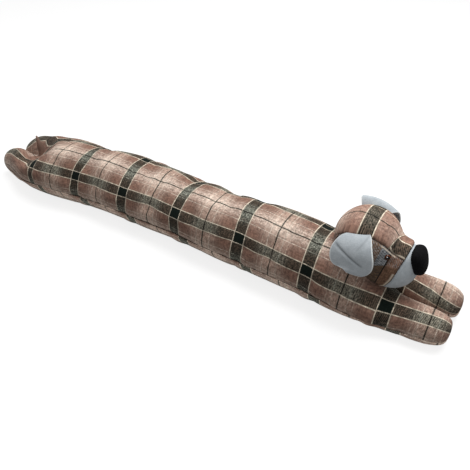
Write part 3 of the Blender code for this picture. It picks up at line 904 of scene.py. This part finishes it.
def makeHead(check, side, grey, bodySkin):
    skin = headSkin()
    table = toTable(points(skin))
    gusset, muzzle = headSeams(table)
    groove = np.exp(-(gusset / head["grooveWidth"]) ** 2) * (muzzle < 0)
    groove = np.maximum(groove, np.exp(-(muzzle / head["grooveWidth"]) ** 2))
    lip = np.exp(-(np.minimum(muzzle + head["lipAway"], 0) / head["lipWidth"]) ** 2) * (muzzle < 0)
    move = (head["lip"] * lip - head["groove"] * groove) * mm
    moved = points(skin) + normals(skin) * move[:, None]

    # Where the head rests on the back it is pressed flat against it
    gap = head["restGap"] * mm
    tree = BVHTree.FromObject(bodySkin, bpy.context.evaluated_depsgraph_get())
    for i, place in enumerate(moved):
        near, normal, _, _ = tree.find_nearest(Vector(place), head["restReach"] * mm)
        if near is not None and (Vector(place) - near).dot(normal) < gap:
            moved[i] = near + normal * gap
    setPoints(skin, moved)

    loopVerts, centres, counts = cornerData(skin)
    middle = toTable(centres)
    gusset, muzzle = headSeams(middle)
    panel = np.where(muzzle > 0, 3, np.where(gusset < 0, 0, np.where(middle[:, 1] < head["middleY"], 1, 2)))
    corners = table[loopVerts]
    u, v = headCheck(corners, np.repeat(panel, counts))
    writeUv(skin, "check", u, v)
    paintSeamShadeAndThreads(skin, table)
    for material in (check, side, side, grey):
        skin.data.materials.append(material)
    skin.data.polygons.foreach_set("material_index", panel.astype(np.int32))
    smoothAll(skin)

    # One piece for each panel
    for number, (name, node, slot) in enumerate(headPanels):
        mesh = skin.data.copy()
        piece = newObject(name, mesh)
        bm = bmesh.new()
        bm.from_mesh(mesh)
        bmesh.ops.delete(bm, geom=[face for face in bm.faces if panel[face.index] != number], context="FACES")
        bm.to_mesh(mesh)
        bm.free()
        applyModifier(piece, "SOLIDIFY", thickness=head["wall"] * mm, offset=-1.0)
        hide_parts(node)
        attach(piece, "root")
    bpy.data.objects.remove(skin)


# How the check lies on the head
headGuide = {
    "crownBand": 661.0,         # table x of the dark band over the crown
    # Thin line along the crown: x, y
    "crownMiddle": [(640, 1.5), (655, -1), (671, -3.0), (682, -1.5), (690, 2.5), (702, 4)],
    "skullX": 658.0,
    "skullRadius": 46.0,
    "leanMost": 0.98,           # keeps the arc over the skull from reaching its sides
    "crownClear": (675.0, 0.26),    # behind this x no number is lower: no dark long band lies there
    "stop": 699.0,              # table x where the crown meets the snout
    "stopSlope": 0.25,
    "stopNumber": 0.082,        # the snout's check starts at this number
    "snoutBand": (-6.4, 701.0, 0.2),    # table y of the dark long band at an x, and its slope
    "snoutMost": 0.2,           # the snout's numbers end here, before the pale line
    "sideBand": (690.0, 120.0, 0.2),    # x at a height, and the lean
    "sideLow": 104.5,           # height of the grey block's lower edge
    "sideNumber": 0.25,         # the number that both of them have
}


# The check's numbers on the head: over the crown and down the snout, and flat on the sides
def headCheck(corners, panel):
    x, y, z = corners.T
    guide = headGuide
    lean = np.clip((x - guide["skullX"]) / guide["skullRadius"], -guide["leanMost"], guide["leanMost"])
    bandLean = (guide["crownBand"] - guide["skullX"]) / guide["skullRadius"]
    arc = guide["skullRadius"] * (np.arcsin(lean) - math.asin(bandLean))
    u = arc / twill["crossRepeat"]
    v = 0.5 + (y - bySpan(guide["crownMiddle"], x)[0]) / twill["girthRepeat"]
    clearTo, clearNumber = guide["crownClear"]
    v = np.where(x < clearTo, np.maximum(v, clearNumber), v)
    past = x - (y - head["middleY"]) * guide["stopSlope"] - guide["stop"]
    u = np.where(past > 0, guide["stopNumber"] + past / twill["crossRepeat"], u)
    bandY, bandX, bandSlope = guide["snoutBand"]
    snoutV = (y - bandY - (x - bandX) * bandSlope) / twill["girthRepeat"]
    v = np.where(past > 0, np.minimum(snoutV, guide["snoutMost"]), v)
    sideX, sideZ, sideLean = guide["sideBand"]
    sideU = guide["sideNumber"] + (x - sideX - (z - sideZ) * sideLean) / twill["crossRepeat"]
    sideV = guide["sideNumber"] + (z - guide["sideLow"]) / twill["girthRepeat"]
    u = np.where(panel == 0, u, sideU)
    v = np.where(panel == 0, v, sideV)
    return u, v


# Ears: rounded flannel flaps, sewn in along the top
ears = {
    # Rows down the flap: y, back edge x and z, front edge x and z, arch between them
    "near": [(-22, 641, 134, 666, 143, 0), (-29, 637, 138.5, 671, 146, 0), (-39, 630, 134, 675, 145, 0.5),
             (-48, 626, 124, 680, 139, 1), (-54, 628, 112, 685, 131, 1), (-57, 636, 103.5, 688, 120, 0),
             (-59, 650, 107, 684, 110, -1), (-60, 657, 102, 675, 104, -1)],
    "far": [(35, 635, 139, 671, 142.5, 3), (42, 630, 148, 678, 143.5, 5), (49, 627, 150.5, 683, 141.5, 7),
            (57, 628, 143, 684, 130, 9), (62, 630, 127, 686, 117, 6), (64, 636, 112, 683, 105, 3),
            (64, 648, 104, 674, 100, 1)],
    # Creases: the ends of each in x and z, and how strong it is
    "creases": {"near": [((634, 128), (669, 117.4), 0.8), ((669, 147), (663, 135), 0.4)], "far": []},
    "grid": (56, 56),
    "thickness": 2.2,           # mm, of both layers
    "creaseDepth": 1.6,
    "creaseWidth": 1.5,
    "creaseFade": 6.0,          # mm past each end
    "rim": 0.034,               # share of the flap that the painted highlight along the turned edge takes
    "rimContrast": 1.8,
    # Flat size and area, in metres and square metres
    "flat": {"near": (0.064, 0.060, 0.00305), "far": (0.066, 0.062, 0.0035)},
}


# How deep the deepest crease is at a place, from 0 to 1
def creaseAt(x, z, creases):
    deepest = 0.0
    for (startX, startZ), (endX, endZ), strength in creases:
        length = math.hypot(endX - startX, endZ - startZ)
        alongX, alongZ = (endX - startX) / length, (endZ - startZ) / length
        along = (x - startX) * alongX + (z - startZ) * alongZ
        away = (x - startX) * alongZ - (z - startZ) * alongX
        before = max(0.0, along / ears["creaseFade"] + 1)
        after = max(0.0, (length - along) / ears["creaseFade"] + 1)
        ends = min(1.0, before, after)
        deepest = max(deepest, strength * ends * math.exp(-(away / ears["creaseWidth"]) ** 2))
    return deepest


# A cubic B-spline that follows rows of places, in as many steps as count says
def smoothRows(rows, count):
    rows = np.array([rows[0], *rows, rows[-1]], float)
    result = np.empty((count, rows.shape[1]))
    for i, t in enumerate(np.linspace(0, len(rows) - 3, count)):
        first = min(int(t), len(rows) - 4)
        f = t - first
        weights = ((1 - f) ** 3, 3 * f ** 3 - 6 * f * f + 4, -3 * f ** 3 + 3 * f * f + 3 * f + 1, f ** 3)
        result[i] = sum(w * row for w, row in zip(weights, rows[first:first + 4])) / 6
    return result


# A grid bent to the rows of its ear, with its creases pressed in, and the painted highlight along its turned
# rim and the painted shade in its creases as attributes
def makeEar(name, nodeName, which, side, cloth):
    down, across = ears["grid"]
    flap = newPrimitive(name, bpy.ops.mesh.primitive_grid_add, x_subdivisions=across, y_subdivisions=down,
                        size=2.0)
    fine = smoothRows(ears[which], down + 1)
    place = points(flap)
    edge, fold = np.zeros(len(place)), np.zeros(len(place))
    for i, (a, b, _) in enumerate(place):
        row = int(round((b + 1) / 2 * down))
        share = (a + 1) / 2
        y, backX, backZ, frontX, frontZ, arch = fine[row]
        fallen = row / down
        x = backX + (frontX - backX) * share
        z = backZ + (frontZ - backZ) * share + arch * (1 - a * a)
        # Each crease is pressed in and takes painted shade
        fold[i] = creaseAt(x, z, ears["creases"][which])
        place[i] = at(x, y - side * fold[i] * ears["creaseDepth"], z)
        # Painted highlight along the turned edge
        toEdge = min(share, 1 - share, 1 - fallen) / ears["rim"]
        edge[i] = max(0.0, min(1.0, ears["rimContrast"] * (1 - toEdge)))
    setPoints(flap, place)
    writeValues(flap, edge=edge, fold=fold)
    pick(flap)
    bpy.ops.object.mode_set(mode="EDIT")
    bpy.ops.mesh.select_all(action="SELECT")
    bpy.ops.mesh.normals_make_consistent(inside=False)
    bpy.ops.object.mode_set(mode="OBJECT")
    applyModifier(flap, "SOLIDIFY", thickness=ears["thickness"] * mm, offset=0.0)
    applyModifier(flap, "SUBSURF", levels=1, render_levels=1)
    smoothAll(flap)
    flap.data.materials.append(cloth)
    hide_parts(nodeName)
    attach(flap, "root")


# Nose: a small stuffed pad with rounded corners, a little wider at the top
nose = {"centre": (729, 8, 107.5), "size": (10.5, 17.0, 20.0), "lean": -18.0, "square": 2.6, "flare": 0.10}


def makeNose(cloth):
    pad = newPrimitive("nosePad", bpy.ops.mesh.primitive_uv_sphere_add, segments=72, ring_count=36,
                       radius=1.0)
    turn = Matrix.Rotation(math.radians(nose["lean"]), 3, "Y")
    power = nose["square"]
    for vert in pad.data.vertices:
        size = sum(abs(c) ** power for c in vert.co) ** (1 / power)
        shaped = vert.co / size
        shaped.y *= 1.0 + nose["flare"] * shaped.z
        local = turn @ Vector([c * s for c, s in zip(shaped, nose["size"])])
        vert.co = at(*(Vector(nose["centre"]) + local))
    smoothAll(pad)
    pad.data.materials.append(cloth)
    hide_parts("nose")
    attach(pad, "root")


# Eyes: each a small ball, set into the side panel between the crown and the muzzle
eye = {"centre": (693.5, -19.5, 117), "radius": 4.6, "looks": (0.45, 0.85, 0.25)}


def makeEye(name, nodeName, y, side, gloss):
    centre = at(eye["centre"][0], y, eye["centre"][2])
    ball = newPrimitive(name, bpy.ops.mesh.primitive_uv_sphere_add, segments=48, ring_count=24,
                        radius=eye["radius"] * mm)
    ahead, aside, up = eye["looks"]
    outward = Vector((ahead, side * aside, up)).normalized()
    turn = outward.to_track_quat("Z", "Y").to_matrix()
    shape = np.array([turn @ vert.co for vert in ball.data.vertices])
    flat = np.array([vert.co / (eye["radius"] * mm) for vert in ball.data.vertices])
    setPoints(ball, shape + np.array(centre))

    # The face map: 0 in the middle of the pupil, 1 round the rim and all over the back
    loopVerts, _, _ = cornerData(ball)
    reach = np.where(flat[:, 2] < 0, 1.0, np.hypot(flat[:, 0], flat[:, 1]))
    angle = np.arctan2(flat[:, 1], flat[:, 0])
    writeUv(ball, "face", (np.cos(angle) * reach)[loopVerts], (np.sin(angle) * reach)[loopVerts])
    smoothAll(ball)
    ball.data.materials.append(gloss)
    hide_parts(nodeName)
    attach(ball, "root")


# Tail: a small filled leaf of plain brown from the check
tailLook = {
    "levels": 2,
    "number": 0.20,             # where in the check it is cut
    "repeats": (600.0, 900.0),  # mm for each repeat, drawn out so that no band crosses it
}


def makeTail(cloth):
    tail = copyOfNode("tail", "tailPad")
    applyModifier(tail, "SUBSURF", levels=tailLook["levels"], render_levels=tailLook["levels"])
    loopVerts, _, _ = cornerData(tail)
    table = toTable(points(tail))[loopVerts]
    along, up = tailLook["repeats"]
    writeUv(tail, "check", tailLook["number"] + table[:, 0] / along, tailLook["number"] + table[:, 2] / up)
    smoothAll(tail)
    tail.data.materials.append(cloth)
    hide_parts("tail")
    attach(tail, "root")


def makeFloor():
    floor = newPrimitive("floor", bpy.ops.mesh.primitive_plane_add, size=light["floorSize"])
    floor.data.materials.append(floorPaint("paleFloor"))


makeCamera()
makeLight()
makeFloor()
print("camera, light and floor are set")

checkUpper = checkedCloth("brushedCheckTwill")
# The crown, the sides and the base panel are lit and shaded copies of the body's cloth, with painted light
# and shade
checkCrown = checkedCloth("brushedCheckTwillCrown", twill["paintedLightTones"]["crown"], (crossSett, crownGirthSett),
                          sewn=True)
checkSide = checkedCloth("brushedCheckTwillSide", twill["paintedLightTones"]["side"], (cheekCrossSett, cheekGirthSett),
                         twill["noTint"], sewn=True)
checkBase = checkedCloth("brushedCheckTwillBase", twill["paintedLightTones"]["base"])
# The muzzle and the farther ear are lit copies of the near ear's flannel, with painted light
greyMuzzle = greyFlannel("feltedGreyFlannelMuzzle", tone=flannel["paintedLightTones"]["muzzle"])
greyEdge = greyFlannel("feltedGreyFlannelTurned", withRimHighlightAndCreaseShade=True)
litFarEarFlannel = greyFlannel("feltedGreyFlannelTurnedLit", withRimHighlightAndCreaseShade=True, tone=flannel["paintedLightTones"]["farEar"])
black = blackCloth("blackBrushedCloth")
gloss = toyEye("polishedToyEye")
print("materials are made")

bodySkin = makeBody(checkUpper)
basePanel = makeBase(checkBase)
print("body and base panel are made")

makeHead(checkCrown, checkSide, greyMuzzle, bodySkin)
print("head is made")

makeEar("earNear", "ear_near", "near", -1, greyEdge)
makeEar("earFar", "ear_far", "far", 1, litFarEarFlannel)
makeNose(black)
makeEye("eyeNear", "eye_near", eye["centre"][1], -1, gloss)
makeEye("eyeFar", "eye_far", 2 * head["middleY"] - eye["centre"][1], 1, gloss)
makeTail(checkUpper)
print("ears, nose, eyes and tail are made")
